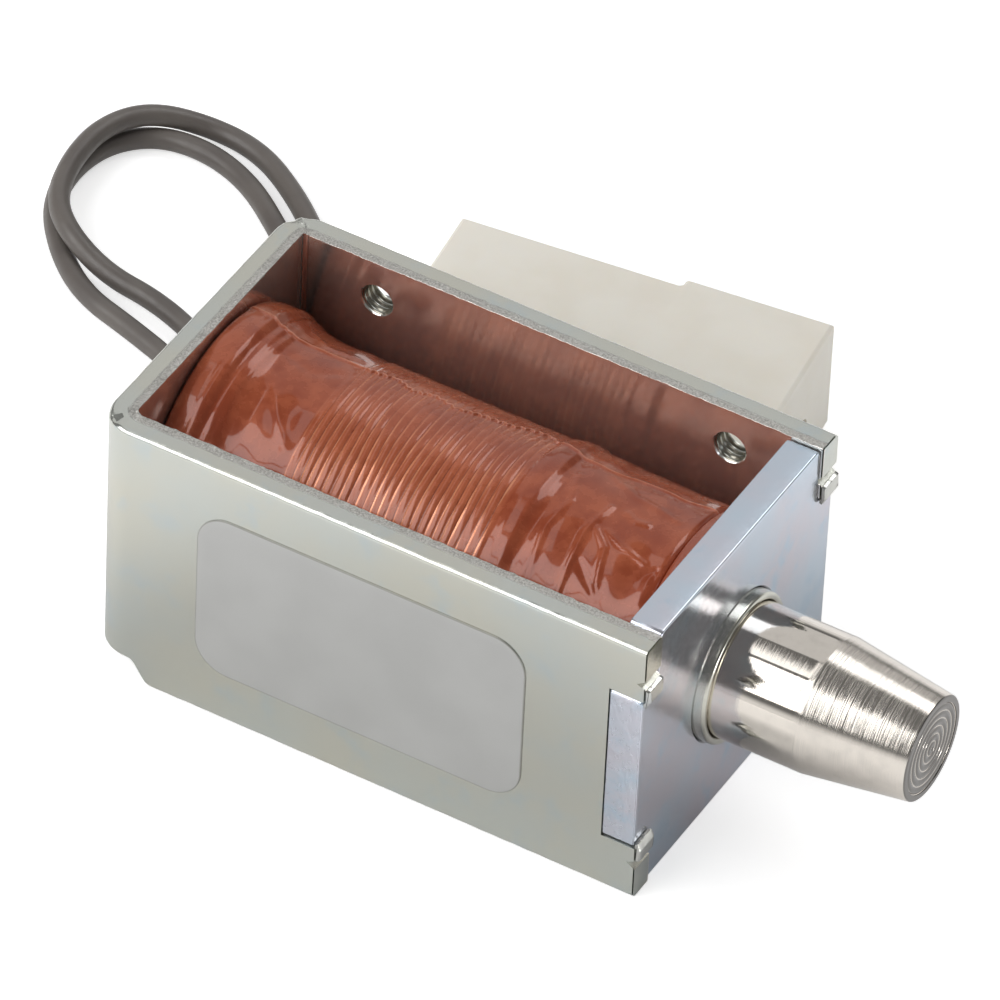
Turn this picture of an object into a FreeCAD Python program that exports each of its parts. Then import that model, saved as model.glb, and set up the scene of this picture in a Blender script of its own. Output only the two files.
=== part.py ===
# Open-frame solenoid with a tapered bolt plunger, two leads and a two-way nylon connector.
# Millimetres. It is built about the plunger: X runs out of the end plate along the bolt,
# Z is up, and x = 0 is the outer face of the end plate. At the end everything is moved, so that
# the origin is the middle of the four M3 holes, on the outer face of the wall that has them.
import os
import math
import FreeCAD, Part
from FreeCAD import Vector, Rotation, Placement

X_AXIS = Vector(1, 0, 0)
Y_AXIS = Vector(0, 1, 0)
Z_AXIS = Vector(0, 0, 1)
OVERCUT = 1.0

# Frame, a bracket bent from sheet steel
sheet = 2.0
frame_depth = 43.0
frame_width = 26.0
frame_height = 22.6
bend_inner = 0.5
wall_end_proud = 0.2
rear_relief = 1.8
rear_relief_run = 3.6
rear_relief_round = 1.6

# Mounting holes in the far wall, tapped M3, cut at the thread's outer diameter
thread_radius = 1.5
thread_chamfer = 0.15
hole_spacing_x = 28.0
hole_from_edge = 3.3
first_hole_x = 7.0

# End plate between the wall ends, with a tab through each wall
plate_thickness = 2.5
tab_from_edge = 4.6
tab_clearance = 0.05
plate_side_gap = 0.1
plate_corner_round = 0.5
plate_bevel = 0.2

# Stakes that hold the plate
stake_from_tab = 1.65
stake_half_width = 0.4
stake_depth = 0.7
stake_lip = 0.45
stake_lip_edge = 0.27
stake_lip_root = 0.36
stake_overlap = 0.35

# Guide tube, necked where it passes the plate
neck_bore_radius = 5.05
neck_wall = 0.55
neck_proud = 0.9
tube_bore_radius = 5.45
tube_wall = 0.55
neck_ledge = 0.55
neck_lip_round = 0.18
running_clearance = 0.05
seat_clearance = 0.05

# Plunger
bolt_out = 15.4
bolt_straight = 7.5
nose_radius = 3.9
nose_round = 0.25
nose_centre_mark = 0.45
head_stop_gap = 0.1
head_length = 14.9
tail_cone_radius = 4.6
tail_tip_radius = 2.7
cone_half_angle = 30.0
stroke = 10.0
stroke_gap = 0.3

# Return spring and its bores
spring_wire = 0.3
spring_wire_sides = 6
spring_outer_radius = 1.75
spring_bore_radius = 2.0
plunger_bore_depth = 8.0
core_bore_depth = 6.0
spring_turns = 8

# Core, riveted in the rear wall
rivet_radius = 3.0
rivet_hole_clearance = 0.03
rivet_head_radius = 3.9
rivet_head_height = 0.5
rivet_head_flat = 2.7
core_lip = 0.2

# Bobbin, winding and film. The bulge over the rear flange just clears the side walls, and the
# drops and swells are radii less than the bulge's and more than the winding's
coil_side_gap = 0.15
rear_flange_drop = 0.35
front_flange_drop = 0.95
winding_drop = 1.4
bobbin_wall = 0.8
flange_thickness = 1.2
bobbin_end_gap = 0.1
winding_end_gap = 0.05
film_thickness = 0.25
rear_bulge_run = 2.6
waist_swell = 0.5
waist_start = 4.2
rows_start = 9.2
rows_run = 17.3
rows_swell = 0.4
step_swell = 0.7
step_run = 1.4
step_length = 4.2

# Label on the near wall
label_length = 25.8
label_height = 14.2
label_round = 2.6
label_thickness = 0.1
label_from_plate = 8.9

# Leads
lead_diameter = 1.6
lead_sides = 8
lead_from_wall = 2.8
lead_spacing = 2.2
lead_from_rear = 6.6
strand_radius = 0.5
magnet_wire_radius = 0.2

# Film packet over the solder joints
packet_length = 8.5
packet_edge = 1.0
packet_lift = 0.3
packet_height = 4.2
packet_coil_gap = 0.15
joint_length = 4.4
pocket_clearance = 0.05
wire_hole_clearance = 0.1

# Connector, turned a little on the table behind the frame
connector_length = 28.2
connector_front = 11.3
connector_rear_width = 14.4
connector_front_width = 16.0
connector_height = 9.4
connector_turn = 7.0
connector_end_x = -11.2
connector_end_y = 28.2
connector_edge = 0.25
connector_hollow = 0.35
way_pitch = 5.0
way_drop = 1.5
way_radius = 1.75
mouth_radius = 1.25
mouth_length = 3.0
lead_in = 2.0
contact_radius = 1.6
crimp_radius = 1.1
crimp_length = 5.0
crimp_wall_clearance = 0.05
contact_length = 18.0
socket_radius = 0.9
socket_depth = 9.0
contact_slit = 0.4
way_lead_out = 2.3

# Places that follow from the sizes
half_width = frame_width / 2
half_height = frame_height / 2
inner_half_width = half_width - sheet
rear_face = -frame_depth
rear_inner = rear_face + sheet
table = -half_height
pattern_x = -(first_hole_x + hole_spacing_x / 2)
hole_spacing_z = frame_height - 2 * hole_from_edge
tab_half_height = half_height - tab_from_edge
stake_centre = tab_half_height + stake_from_tab
neck_outer_radius = neck_bore_radius + neck_wall
tube_outer_radius = tube_bore_radius + tube_wall
ledge_x = -plate_thickness - neck_ledge
bolt_radius = neck_bore_radius - running_clearance
head_radius = tube_bore_radius - running_clearance
head_front = ledge_x - head_stop_gap
tail_x = head_front - head_length
cone_length = (tail_cone_radius - tail_tip_radius) / math.tan(math.radians(cone_half_angle))
seat_x = tail_x - stroke - stroke_gap
bobbin_front = -plate_thickness - bobbin_end_gap
bobbin_rear = rear_inner + bobbin_end_gap
barrel_radius = tube_outer_radius + seat_clearance + bobbin_wall
rear_bulge_radius = inner_half_width - coil_side_gap
rear_flange_radius = rear_bulge_radius - rear_flange_drop
front_flange_radius = rear_bulge_radius - front_flange_drop
winding_radius = rear_bulge_radius - winding_drop
waist_radius = winding_radius + waist_swell
rows_radius = winding_radius + rows_swell
step_radius = winding_radius + step_swell
winding_front = bobbin_front - flange_thickness - winding_end_gap
winding_rear = bobbin_rear + flange_thickness + winding_end_gap
lead_radius = lead_diameter / 2
lead_z = table + lead_radius
lead_a_side = inner_half_width - lead_from_wall
lead_b_side = lead_a_side - lead_spacing
packet_rear = rear_face + lead_from_rear
joint_front = packet_rear + joint_length
stub_x = joint_front + magnet_wire_radius + wire_hole_clearance


def revolve_about_axis(points):
    """Turn a closed outline of (x, radius) points about the bolt's axis."""
    corners = [Vector(x, 0, r) for x, r in points]
    face = Part.Face(Part.makePolygon(corners + corners[:1]))
    return face.revolve(Vector(0, 0, 0), X_AXIS, 360)


def cylinder_x(radius, start, end, y=0.0, z=0.0):
    return Part.makeCylinder(radius, end - start, Vector(start, y, z), X_AXIS)


def box_between(low, high):
    size = Vector(*high) - Vector(*low)
    return Part.makeBox(size.x, size.y, size.z, Vector(*low))


def arc_edge(start, middle, end):
    return Part.Arc(Vector(*start), Vector(*middle), Vector(*end)).toShape()


def line_edge(start, end):
    return Part.LineSegment(Vector(*start), Vector(*end)).toShape()


def rounded_rectangle(length, height, radius):
    """A face in the XZ plane, from x = 0 to length and centred on z = 0."""
    top = height / 2
    inset = radius * (1 - math.sqrt(0.5))
    edges = [line_edge((radius, 0, -top), (length - radius, 0, -top)),
             arc_edge((length - radius, 0, -top), (length - inset, 0, inset - top),
                      (length, 0, radius - top)),
             line_edge((length, 0, radius - top), (length, 0, top - radius)),
             arc_edge((length, 0, top - radius), (length - inset, 0, top - inset),
                      (length - radius, 0, top)),
             line_edge((length - radius, 0, top), (radius, 0, top)),
             arc_edge((radius, 0, top), (inset, 0, top - inset), (0, 0, top - radius)),
             line_edge((0, 0, top - radius), (0, 0, radius - top)),
             arc_edge((0, 0, radius - top), (inset, 0, inset - top), (radius, 0, -top))]
    return Part.Face(Part.Wire(edges))


def bent_strip():
    """The bracket seen from above: two walls, a rear wall and two bends."""
    bend_outer = bend_inner + sheet
    diagonal = math.sqrt(0.5)
    end = wall_end_proud
    edges = []
    for radius, face_x, wall_y in ((bend_outer, rear_face, half_width),
                                   (bend_inner, rear_inner, inner_half_width)):
        centre_x = face_x + radius
        centre_y = wall_y - radius
        for side in (-1, 1):
            edges.append(line_edge((end, side * wall_y, 0), (centre_x, side * wall_y, 0)))
            edges.append(arc_edge((centre_x, side * wall_y, 0),
                                  (centre_x - radius * diagonal,
                                   side * (centre_y + radius * diagonal), 0),
                                  (face_x, side * centre_y, 0)))
        edges.append(line_edge((face_x, -centre_y, 0), (face_x, centre_y, 0)))
    for side in (-1, 1):
        edges.append(line_edge((end, side * inner_half_width, 0), (end, side * half_width, 0)))
    return Part.Face(Part.Wire(Part.__sortEdges__(edges)))


def rear_relief_cutter():
    """The rear wall and the bends stop short of the table, with rounded corners on the walls."""
    step_x = rear_face + rear_relief_run
    top = table + rear_relief
    low = table - OVERCUT
    back = rear_face - OVERCUT
    radius = rear_relief_round
    inset = radius * (1 - math.sqrt(0.5))
    edges = [line_edge((back, 0, top), (step_x, 0, top)),
             line_edge((step_x, 0, top), (step_x, 0, table + radius)),
             arc_edge((step_x, 0, table + radius), (step_x + inset, 0, table + inset),
                      (step_x + radius, 0, table)),
             line_edge((step_x + radius, 0, table), (step_x + radius, 0, low)),
             line_edge((step_x + radius, 0, low), (back, 0, low)),
             line_edge((back, 0, low), (back, 0, top))]
    face = Part.Face(Part.Wire(edges))
    face.translate(Vector(0, -half_width - OVERCUT, 0))
    return face.extrude(Vector(0, frame_width + 2 * OVERCUT, 0))


def mounting_holes():
    """Cutters for the four tapped holes of the far wall, each with a small chamfer outside and in."""
    cutters = []
    for x in (pattern_x - hole_spacing_x / 2, pattern_x + hole_spacing_x / 2):
        for z in (-hole_spacing_z / 2, hole_spacing_z / 2):
            cutters.append(Part.makeCylinder(thread_radius, sheet + 2 * OVERCUT,
                                             Vector(x, inner_half_width - OVERCUT, z), Y_AXIS))
            mouth = thread_radius + thread_chamfer
            cutters.append(Part.makeCone(mouth, thread_radius, thread_chamfer,
                                         Vector(x, inner_half_width, z), Y_AXIS))
            cutters.append(Part.makeCone(thread_radius, mouth, thread_chamfer,
                                         Vector(x, half_width - thread_chamfer, z), Y_AXIS))
    return cutters


def stake_cutter(side, up):
    """A chisel groove across a wall's end, beside the tab."""
    tip = wall_end_proud - stake_depth
    mouth = wall_end_proud + OVERCUT
    flare = stake_half_width * (1 + OVERCUT / stake_depth)
    corners = [Vector(tip, 0, up * stake_centre),
               Vector(mouth, 0, up * (stake_centre - flare)),
               Vector(mouth, 0, up * (stake_centre + flare))]
    face = Part.Face(Part.makePolygon(corners + corners[:1]))
    low = min(side * half_width, side * inner_half_width) - OVERCUT
    face.translate(Vector(0, low, 0))
    return face.extrude(Vector(0, sheet + 2 * OVERCUT, 0))


def stake_lip_solid(side, up):
    """The metal that the chisel pushed over the tab's corner."""
    end = wall_end_proud
    root = stake_centre - stake_half_width
    over = tab_half_height - stake_overlap
    lift = tab_clearance
    corners = [Vector(-OVERCUT / 2, 0, up * (tab_half_height + tab_clearance)),
               Vector(lift, 0, up * (tab_half_height + tab_clearance)),
               Vector(lift, 0, up * over),
               Vector(end + stake_lip_edge, 0, up * over),
               Vector(end + stake_lip, 0, up * (over + stake_overlap)),
               Vector(end + stake_lip_root, 0, up * (root - stake_overlap)),
               Vector(end, 0, up * root),
               Vector(-OVERCUT / 2, 0, up * root)]
    face = Part.Face(Part.makePolygon(corners + corners[:1]))
    face.translate(Vector(0, min(side * half_width, side * inner_half_width), 0))
    return face.extrude(Vector(0, sheet, 0))


def make_frame():
    bracket = bent_strip()
    bracket.translate(Vector(0, 0, -half_height))
    bracket = bracket.extrude(Vector(0, 0, frame_height))
    notch = tab_half_height + tab_clearance
    cutters = [rear_relief_cutter(),
               box_between((-plate_thickness, -half_width - OVERCUT, -notch),
                           (wall_end_proud + OVERCUT, half_width + OVERCUT, notch)),
               cylinder_x(rivet_radius + rivet_hole_clearance, rear_face - OVERCUT,
                          rear_inner + OVERCUT)]
    cutters += mounting_holes()
    lips = []
    for side in (-1, 1):
        for up in (-1, 1):
            cutters.append(stake_cutter(side, up))
            lips.append(stake_lip_solid(side, up))
    return bracket.cut(cutters).fuse(lips).removeSplitter()


def make_end_plate():
    body_half = inner_half_width - plate_side_gap
    body = box_between((-plate_thickness, -body_half, -half_height), (0, body_half, half_height))
    corners = [edge for edge in body.Edges
               if abs(edge.Vertexes[0].X - edge.Vertexes[1].X) > plate_thickness / 2]
    body = body.makeFillet(plate_corner_round, corners)
    front = [edge for edge in body.Edges if all(abs(v.X) < 1e-6 for v in edge.Vertexes)]
    body = body.makeChamfer(plate_bevel, front)
    tabs = box_between((-plate_thickness, -half_width, -tab_half_height),
                       (0, half_width, tab_half_height))
    bore = cylinder_x(neck_outer_radius + seat_clearance, -plate_thickness - OVERCUT, OVERCUT)
    return body.fuse(tabs).cut(bore).removeSplitter()


def make_guide_tube():
    lip = neck_lip_round
    return revolve_about_axis([
        (bobbin_rear, tube_bore_radius), (ledge_x, tube_bore_radius),
        (ledge_x, neck_bore_radius), (neck_proud - lip, neck_bore_radius),
        (neck_proud, neck_bore_radius + lip), (neck_proud, neck_outer_radius - lip),
        (neck_proud - lip, neck_outer_radius), (-plate_thickness, neck_outer_radius),
        (-plate_thickness, tube_outer_radius), (bobbin_rear, tube_outer_radius)])


def make_plunger():
    tail_bore = tail_x + plunger_bore_depth
    edge = nose_round
    slope = (bolt_radius - nose_radius) / (bolt_out - bolt_straight)
    points = [(tail_bore, 0), (tail_bore, spring_bore_radius), (tail_x, spring_bore_radius),
              (tail_x, tail_tip_radius), (tail_x + cone_length, tail_cone_radius),
              (tail_x + cone_length, head_radius - edge), (tail_x + cone_length + edge, head_radius),
              (head_front - edge, head_radius), (head_front, head_radius - edge),
              (head_front, bolt_radius), (bolt_straight, bolt_radius),
              (bolt_out - edge, nose_radius + slope * edge), (bolt_out, nose_radius - edge),
              (bolt_out, nose_centre_mark), (bolt_out - nose_centre_mark / 2, 0)]
    return revolve_about_axis(points)


def make_fixed_core():
    gap = stroke_gap / math.cos(math.radians(cone_half_angle))
    seat_radius = tail_tip_radius + gap
    lip_x = seat_x + cone_length
    bore_end = seat_x - core_bore_depth
    head_edge = rear_face - rivet_head_height
    points = [(bore_end, 0), (bore_end, spring_bore_radius), (seat_x, spring_bore_radius),
              (seat_x, seat_radius), (lip_x, tail_cone_radius + gap),
              (lip_x, head_radius - core_lip), (lip_x - core_lip, head_radius),
              (rear_inner, head_radius), (rear_inner, rivet_radius), (rear_face, rivet_radius),
              (rear_face, rivet_head_radius), (head_edge + rivet_head_height / 2, rivet_head_radius),
              (head_edge, rivet_head_flat), (head_edge, 0)]
    return revolve_about_axis(points)


def polygon_wire(centre, across, up, radius, sides):
    """A closed ring of straight edges that stands for a round section."""
    turns = [2 * math.pi * (step + 0.5) / sides for step in range(sides)]
    corners = [centre + across * (radius * math.cos(turn)) + up * (radius * math.sin(turn))
               for turn in turns]
    return Part.makePolygon(corners + corners[:1])


def make_return_spring():
    """One helix of wire, from the bottom of the core's bore to that of the plunger's."""
    coil_radius = spring_outer_radius - spring_wire / 2
    start = seat_x - core_bore_depth + spring_wire / 2 + seat_clearance
    end = tail_x + plunger_bore_depth - spring_wire / 2 - seat_clearance
    pitch = (end - start) / spring_turns
    helix = Part.makeHelix(pitch, end - start, coil_radius)
    section = polygon_wire(Vector(coil_radius, 0, 0), X_AXIS, Z_AXIS, spring_wire / 2,
                           spring_wire_sides)
    spring = Part.Wire(helix.Edges).makePipeShell([section], True, True)
    spring.Placement = Placement(Vector(start, 0, 0), Rotation(Y_AXIS, 90))
    return spring


def make_bobbin():
    bore = tube_outer_radius + seat_clearance
    flange_rear = bobbin_rear + flange_thickness
    flange_front = bobbin_front - flange_thickness
    return revolve_about_axis([
        (bobbin_rear, bore), (bobbin_front, bore), (bobbin_front, front_flange_radius),
        (flange_front, front_flange_radius), (flange_front, barrel_radius),
        (flange_rear, barrel_radius), (flange_rear, rear_flange_radius),
        (bobbin_rear, rear_flange_radius)])


def wire_stub(side, radius):
    """A coil end that leaves the winding and runs down to its solder joint."""
    top = -math.sqrt(winding_radius ** 2 - side ** 2)
    length = top - lead_z + 2 * radius
    return Part.makeCylinder(radius, length, Vector(stub_x, side, lead_z - radius), Z_AXIS)


def make_winding():
    inner = barrel_radius + winding_end_gap
    coil = revolve_about_axis([(winding_rear, inner), (winding_front, inner),
                               (winding_front, winding_radius), (winding_rear, winding_radius)])
    stubs = [wire_stub(side, magnet_wire_radius) for side in (lead_a_side, lead_b_side)]
    return coil.fuse(stubs).removeSplitter()


def make_coil_film():
    """Film over the flange and the turns: a bulge, a waist, the long rows of turns, a step, an end."""
    inner = winding_radius + seat_clearance
    over_flange = rear_flange_radius + seat_clearance
    smooth = inner + film_thickness
    shoulder = rear_bulge_radius - film_thickness / 2
    rows_x = rear_inner + rows_start
    rows_end = rows_x + rows_run
    bulge_end = rear_inner + rear_bulge_run
    flange_x = bobbin_rear + flange_thickness + seat_clearance
    outer = [(bobbin_rear, shoulder), (bobbin_rear + film_thickness, rear_bulge_radius),
             (bulge_end, rear_bulge_radius), (bulge_end + film_thickness, shoulder),
             (rear_inner + waist_start, waist_radius), (rows_x, rows_radius),
             (rows_end, rows_radius), (rows_end + step_run, step_radius),
             (rows_end + step_length, step_radius), (winding_front - step_run, rows_radius),
             (winding_front, smooth)]
    inside = [(winding_front, inner), (flange_x, inner), (flange_x, over_flange),
              (bobbin_rear, over_flange)]
    film = revolve_about_axis(outer + inside)
    hole = magnet_wire_radius + wire_hole_clearance
    for side in (lead_a_side, lead_b_side):
        film = film.cut(box_between((stub_x - hole, side - hole, table), (stub_x + hole, side + hole, 0)))
    return film


def make_label():
    face = rounded_rectangle(label_length, label_height, label_round)
    face.translate(Vector(-label_from_plate - label_length, -half_width - label_thickness, 0))
    return face.extrude(Vector(0, label_thickness, 0))


def make_joint_packet():
    """A folded film packet that fills the corner between the winding, the wall and the table."""
    low_side = lead_b_side - packet_edge
    high_side = lead_a_side + packet_edge
    low = table + packet_lift
    packet = box_between((packet_rear, low_side, low),
                         (packet_rear + packet_length, high_side, low + packet_height))
    coil = cylinder_x(step_radius + packet_coil_gap, packet_rear - OVERCUT,
                      packet_rear + packet_length + OVERCUT)
    packet = packet.cut(coil)
    for side in (lead_a_side, lead_b_side):
        packet = packet.cut(cylinder_x(strand_radius + pocket_clearance, packet_rear - OVERCUT,
                                       joint_front + pocket_clearance, side, lead_z))
        packet = packet.cut(wire_stub(side, magnet_wire_radius + wire_hole_clearance))
    return packet


def make_solder_joint(side):
    return cylinder_x(strand_radius, packet_rear, joint_front, side, lead_z)


def connector_placement():
    """The connector's own frame: x from its wire end to its mating face, z = 0 at mid height."""
    turn = math.radians(connector_turn)
    rear = Vector(connector_end_x - connector_length * math.cos(turn),
                  connector_end_y - connector_length * math.sin(turn),
                  table + connector_height / 2)
    return Placement(rear, Rotation(Z_AXIS, connector_turn))


def in_connector(shape):
    shape.Placement = connector_placement().multiply(shape.Placement)
    return shape


def way_point(side, depth):
    """A point on a way's middle line, at a depth from the connector's wire end."""
    return connector_placement().multVec(Vector(depth, side * way_pitch / 2, -way_drop))


def make_connector_housing():
    step_x = connector_length - connector_front
    rear_half = connector_rear_width / 2
    front_half = connector_front_width / 2
    outline = [(0, -rear_half), (step_x, -rear_half), (step_x, -front_half),
               (connector_length, -front_half), (connector_length, front_half),
               (step_x, front_half), (step_x, rear_half), (0, rear_half)]
    corners = [Vector(x, y, -connector_height / 2) for x, y in outline]
    block = Part.Face(Part.makePolygon(corners + corners[:1]))
    block = block.extrude(Vector(0, 0, connector_height))
    upright = [e for e in block.Edges if abs(e.Vertexes[0].Z - e.Vertexes[1].Z) > 1]
    hollow = [e for e in upright if abs(e.Vertexes[0].X - step_x) < 0.01
              and abs(abs(e.Vertexes[0].Y) - rear_half) < 0.01]
    step_corner = [e for e in upright if abs(e.Vertexes[0].X - step_x) < 0.01
                   and abs(abs(e.Vertexes[0].Y) - front_half) < 0.01]
    block = block.makeFillet(connector_hollow, hollow + step_corner)
    level = [e for e in block.Edges if abs(e.Vertexes[0].Z - e.Vertexes[-1].Z) < 1e-6]
    block = block.makeChamfer(connector_edge, level)
    for side in (-1, 1):
        y = side * way_pitch / 2
        block = block.cut(cylinder_x(way_radius, -OVERCUT, connector_length - mouth_length, y, -way_drop))
        block = block.cut(cylinder_x(mouth_radius, 0, connector_length + OVERCUT, y, -way_drop))
    return in_connector(block)


def make_contact(side):
    """A crimped socket: a narrow barrel on the strands, then a slit round body."""
    body = cylinder_x(contact_radius, lead_in + crimp_length, lead_in + contact_length)
    barrel = cylinder_x(crimp_radius, lead_in, lead_in + crimp_length)
    contact = body.fuse(barrel)
    contact = contact.cut(cylinder_x(strand_radius + crimp_wall_clearance, lead_in - OVERCUT,
                                     lead_in + crimp_length))
    end = lead_in + contact_length
    contact = contact.cut(cylinder_x(socket_radius, end - socket_depth, end + OVERCUT))
    contact = contact.cut(box_between((end - socket_depth, -contact_slit / 2, 0),
                                      (end + OVERCUT, contact_slit / 2, contact_radius + OVERCUT)))
    contact = contact.removeSplitter()
    contact.translate(Vector(0, side * way_pitch / 2, -way_drop))
    return in_connector(contact)


def make_conductor(side):
    """The bared strands in the crimp."""
    strands = cylinder_x(strand_radius, lead_in, lead_in + crimp_length - crimp_wall_clearance,
                         side * way_pitch / 2, -way_drop)
    return in_connector(strands)


# Each route runs out under the rear wall, round the loop on the table and into its way.
# The points between the ends are chosen by hand, to follow the loop that the leads make.
loop_a = [(-39.4, 8.2, -10.5), (-43.8, 9.8, -10.5), (-48.4, 14.0, -10.5), (-53.0, 18.6, -10.5),
          (-58.2, 20.7, -10.5), (-62.8, 20.9, -10.1), (-66.7, 22.0, -8.8), (-69.4, 24.6, -8.7),
          (-70.7, 28.9, -8.7), (-70.7, 33.3, -8.7), (-68.6, 36.6, -8.8), (-64.8, 39.0, -10.3),
          (-60.4, 38.6, -10.5), (-55.9, 35.8, -10.5), (-52.2, 32.6, -10.5),
          (-49.0, 29.8, -10.5), (-45.6, 27.6, -9.3)]
loop_b = [(-39.8, 6.0, -10.5), (-44.4, 7.5, -10.5), (-49.2, 11.6, -10.5), (-53.6, 15.6, -10.5),
          (-58.4, 17.2, -10.5), (-63.4, 18.6, -10.5), (-67.6, 22.0, -10.5), (-70.4, 25.8, -10.5),
          (-71.2, 29.6, -10.5), (-70.5, 33.6, -10.5), (-67.8, 36.3, -10.5),
          (-63.8, 36.7, -10.5), (-59.6, 35.3, -10.5), (-55.6, 32.4, -10.5),
          (-51.9, 29.2, -10.5), (-48.6, 26.0, -10.5), (-45.0, 23.3, -9.3)]


def lead_route(points, exit_side, way_side):
    start = Vector(packet_rear, exit_side, lead_z)
    ends = [way_point(way_side, -way_lead_out), way_point(way_side, lead_in)]
    return [start] + [Vector(*point) for point in points] + ends


def lead_path(route, name):
    """Straight runs joined by tangent arcs, each as large as its two runs allow."""
    edges = []
    radii = []
    here = route[0]
    for before, corner, after in zip(route, route[1:], route[2:]):
        into = (corner - before).normalize()
        out = (after - corner).normalize()
        half_turn = into.getAngle(out) / 2
        reach = 0.45 * min((corner - before).Length, (after - corner).Length)
        radius = reach / math.tan(half_turn)
        arc_start = corner - into * reach
        arc_end = corner + out * reach
        to_centre = (out - into).normalize()
        centre = corner + to_centre * (radius / math.cos(half_turn))
        middle = centre - to_centre * radius
        edges.append(Part.LineSegment(here, arc_start).toShape())
        edges.append(Part.Arc(arc_start, middle, arc_end).toShape())
        radii.append(round(radius, 1))
        here = arc_end
    edges.append(Part.LineSegment(here, route[-1]).toShape())
    path = Part.Wire(edges)
    print(name, "length", round(path.Length, 1), "arc radii", radii)
    return path


def make_lead(name, points, exit_side, way_side):
    path = lead_path(lead_route(points, exit_side, way_side), name)
    first = path.Edges[0]
    ahead = first.tangentAt(0)
    across = Z_AXIS.cross(ahead).normalize()
    section = polygon_wire(first.Vertexes[0].Point, across, ahead.cross(across), lead_radius,
                           lead_sides)
    tube = path.makePipeShell([section], True, False)
    expected = Part.Face(section).Area * path.Length
    print(name, "volume over section times length", round(tube.Volume / expected, 4))
    return tube


def all_parts():
    parts = {
        "frame": make_frame(),
        "end_plate": make_end_plate(),
        "guide_tube": make_guide_tube(),
        "plunger": make_plunger(),
        "fixed_core": make_fixed_core(),
        "return_spring": make_return_spring(),
        "bobbin": make_bobbin(),
        "winding": make_winding(),
        "coil_film": make_coil_film(),
        "label": make_label(),
        "joint_packet": make_joint_packet(),
        "connector_housing": make_connector_housing(),
        "lead_a": make_lead("lead_a", loop_a, lead_a_side, 1),
        "lead_b": make_lead("lead_b", loop_b, lead_b_side, -1),
    }
    for letter, exit_side, way_side in (("a", lead_a_side, 1), ("b", lead_b_side, -1)):
        parts["solder_joint_" + letter] = make_solder_joint(exit_side)
        parts["contact_" + letter] = make_contact(way_side)
        parts["conductor_" + letter] = make_conductor(way_side)
    return parts


def main():
    os.makedirs("parts", exist_ok=True)
    to_origin = Vector(-pattern_x, -half_width, 0)
    for name, shape in all_parts().items():
        shape.translate(to_origin)
        shape.exportStep("parts/" + name + ".step")
        box = shape.BoundBox
        print(name, "solids", len(shape.Solids), "valid", shape.isValid(),
              "volume", round(shape.Volume, 2),
              "x", round(box.XMin, 2), round(box.XMax, 2), "y", round(box.YMin, 2),
              round(box.YMax, 2), "z", round(box.ZMin, 2), round(box.ZMax, 2))


main()
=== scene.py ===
# %% [markdown]
# # A small open-frame solenoid
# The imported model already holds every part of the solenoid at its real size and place.
# This lesson gives the parts that show their finished surfaces: a bent and staked steel bracket,
# a turned bolt with a tapered nose, a coil wrapped in film, and two leads to a white connector.
# Each surface is a function of two parameters worked out with numpy, so a reader can see its formula.

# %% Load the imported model
import bmesh
import bpy
import numpy as np
from math import pi, radians
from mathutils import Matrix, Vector


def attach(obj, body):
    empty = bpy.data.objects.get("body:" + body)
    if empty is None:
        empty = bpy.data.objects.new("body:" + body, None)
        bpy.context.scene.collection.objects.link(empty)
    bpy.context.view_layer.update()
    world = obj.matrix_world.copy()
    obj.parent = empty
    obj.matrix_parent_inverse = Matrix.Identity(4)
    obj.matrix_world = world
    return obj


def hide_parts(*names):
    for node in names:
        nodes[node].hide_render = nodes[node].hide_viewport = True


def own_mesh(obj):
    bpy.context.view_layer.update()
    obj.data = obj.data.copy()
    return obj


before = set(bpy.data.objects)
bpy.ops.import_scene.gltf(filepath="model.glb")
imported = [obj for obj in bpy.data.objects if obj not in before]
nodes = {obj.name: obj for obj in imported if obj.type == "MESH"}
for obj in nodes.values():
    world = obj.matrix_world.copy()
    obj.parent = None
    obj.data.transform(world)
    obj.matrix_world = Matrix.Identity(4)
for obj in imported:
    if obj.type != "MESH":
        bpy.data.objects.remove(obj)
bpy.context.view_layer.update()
MM = 0.001
print("packed nodes:", len(nodes))

# %% [markdown]
# ## The camera
# A long lens far away gives the flat perspective of a catalogue picture.
# Its place and turn come from matching the bracket's corners, so it's set by plain numbers.


# %% Camera
def placed(name, data):
    """A new object in the scene."""
    made = bpy.data.objects.new(name, data)
    bpy.context.scene.collection.objects.link(made)
    return made


camera_data = bpy.data.cameras.new("studio_camera")
camera_data.lens = 421.4925
camera_data.sensor_width = 36.0
camera = placed("studio_camera", camera_data)
camera.location = (0.283177, -0.530364, 0.541736)
camera.rotation_euler = [radians(angle) for angle in (47.653636, -2.105098, 30.406217)]
bpy.context.scene.camera = camera
print("camera lens:", camera_data.lens, "mm")
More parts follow.
